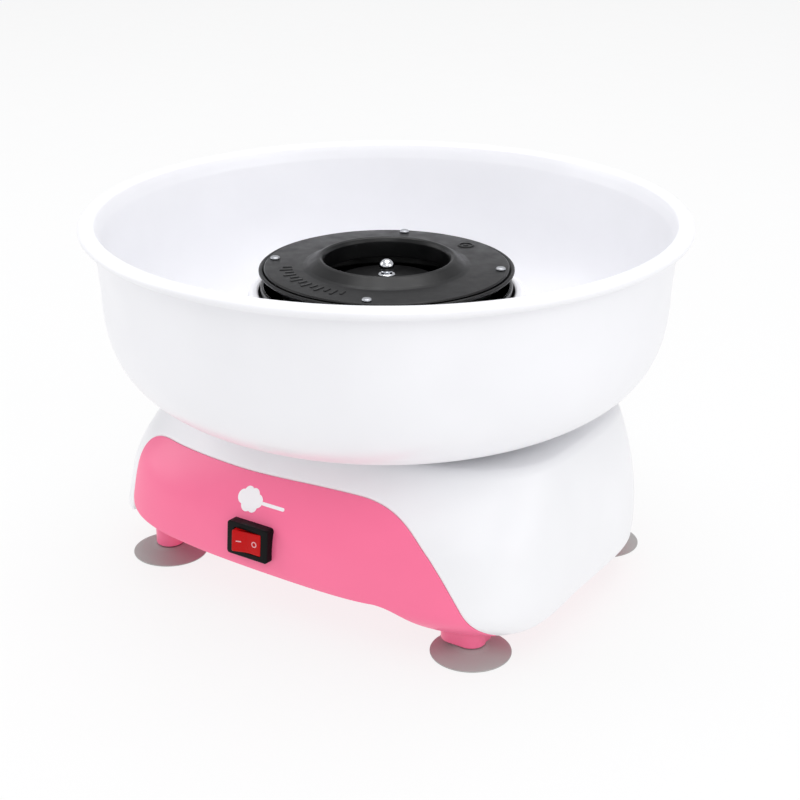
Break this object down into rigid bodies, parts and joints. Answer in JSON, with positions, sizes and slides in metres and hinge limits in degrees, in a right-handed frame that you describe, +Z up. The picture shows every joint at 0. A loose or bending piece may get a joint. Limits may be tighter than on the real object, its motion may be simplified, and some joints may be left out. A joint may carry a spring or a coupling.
{
  "type": "cotton candy machine",
  "caption": "Tabletop cotton candy machine: round open bowl with a rolled lip, spinning heated dish, motor base with a pink front panel, rocker switch and suction feet.",
  "frame": {"origin": "on the motor axis, at the surface the suction feet stand on", "axes": "+Z up along the motor axis, -Y out of the switch panel, +X to the right of someone facing the switch panel"},
  "size_m": [0.29, 0.29, 0.1792],
  "materials": {
    "white_shell": "glossy",
    "pink_plastic": "glossy",
    "grey_rubber": "matt",
    "black_plastic": "satin",
    "red_plastic": "glossy",
    "black_enamel": "satin",
    "steel": "satin",
    "chrome": "polished",
    "brass": "satin",
    "copper": "satin",
    "ceramic": "matt",
    "magnet": "matt",
    "circuit_board": "matt"
  },
  "bodies": {
    "base": {"upper_housing": "white_shell", "bowl_lock_ring": "white_shell", "front_panel": "pink_plastic", "bottom_tray": "pink_plastic", "suction_cup_front_left": "grey_rubber", "suction_cup_front_right": "grey_rubber", "suction_cup_rear_right": "grey_rubber", "suction_cup_rear_left": "grey_rubber", "tray_screw_front_left": "steel", "tray_screw_front_right": "steel", "tray_screw_rear_right": "steel", "tray_screw_rear_left": "steel", "cord_gland": "black_plastic", "switch_housing": "black_plastic", "motor_end_cap": "black_plastic", "switch_terminal_left": "brass", "switch_terminal_right": "brass", "upper_bearing": "brass", "lower_bearing": "brass", "rectifier_board": "circuit_board", "heater_pan": "black_enamel", "heater_element": "steel", "thermal_cutout": "steel", "motor_bracket": "steel", "motor_can": "steel", "motor_screw_left": "steel", "motor_screw_right": "steel", "element_support_1": "ceramic", "element_support_2": "ceramic", "element_support_3": "ceramic", "terminal_bush_1": "ceramic", "terminal_bush_2": "ceramic", "pan_standoff_1": "steel", "pan_standoff_2": "steel", "pan_standoff_3": "steel", "bracket_screw_1": "steel", "bracket_screw_2": "steel", "bracket_screw_3": "steel", "magnet_left": "magnet", "magnet_right": "magnet", "brush_left": "magnet", "brush_right": "magnet"},
    "shaft": {"motor_shaft": "steel", "armature": "steel", "upper_winding": "copper", "lower_winding": "copper", "commutator": "copper", "cooling_fan": "black_plastic", "drive_pin": "steel"},
    "head": {"spinner_dish": "black_enamel", "spinner_top_plate": "black_enamel", "head_rivet_1": "steel", "head_rivet_2": "steel", "head_rivet_3": "steel", "head_rivet_4": "steel", "head_knob": "chrome"},
    "gasket": {"bowl_gasket": "grey_rubber"},
    "bowl": {"bowl": "white_shell"},
    "rocker": {"switch_rocker": "red_plastic"}
  },
  "joints": [
    {"name": "motor_spin", "type": "hinge", "parent": "base", "child": "shaft", "pos_m": [0, 0, 0], "axis": [0, 0, 1], "continuous": true},
    {"name": "head_lift", "type": "slide", "parent": "shaft", "child": "head", "axis": [0, 0, 1], "range_m": [0, 0.075]},
    {"name": "bowl_lift", "type": "slide", "parent": "base", "child": "gasket", "axis": [0, 0, 1], "range_m": [0, 0.11]},
    {"name": "bowl_twist", "type": "hinge", "parent": "gasket", "child": "bowl", "pos_m": [0, 0, 0], "axis": [0, 0, 1], "range_deg": [0, 35]},
    {"name": "switch_rock", "type": "hinge", "parent": "base", "child": "rocker", "pos_m": [-0.0112, -0.09801, 0.04153], "axis": [0, -0.0872, -0.9962], "range_deg": [0, 20]}
  ]
}
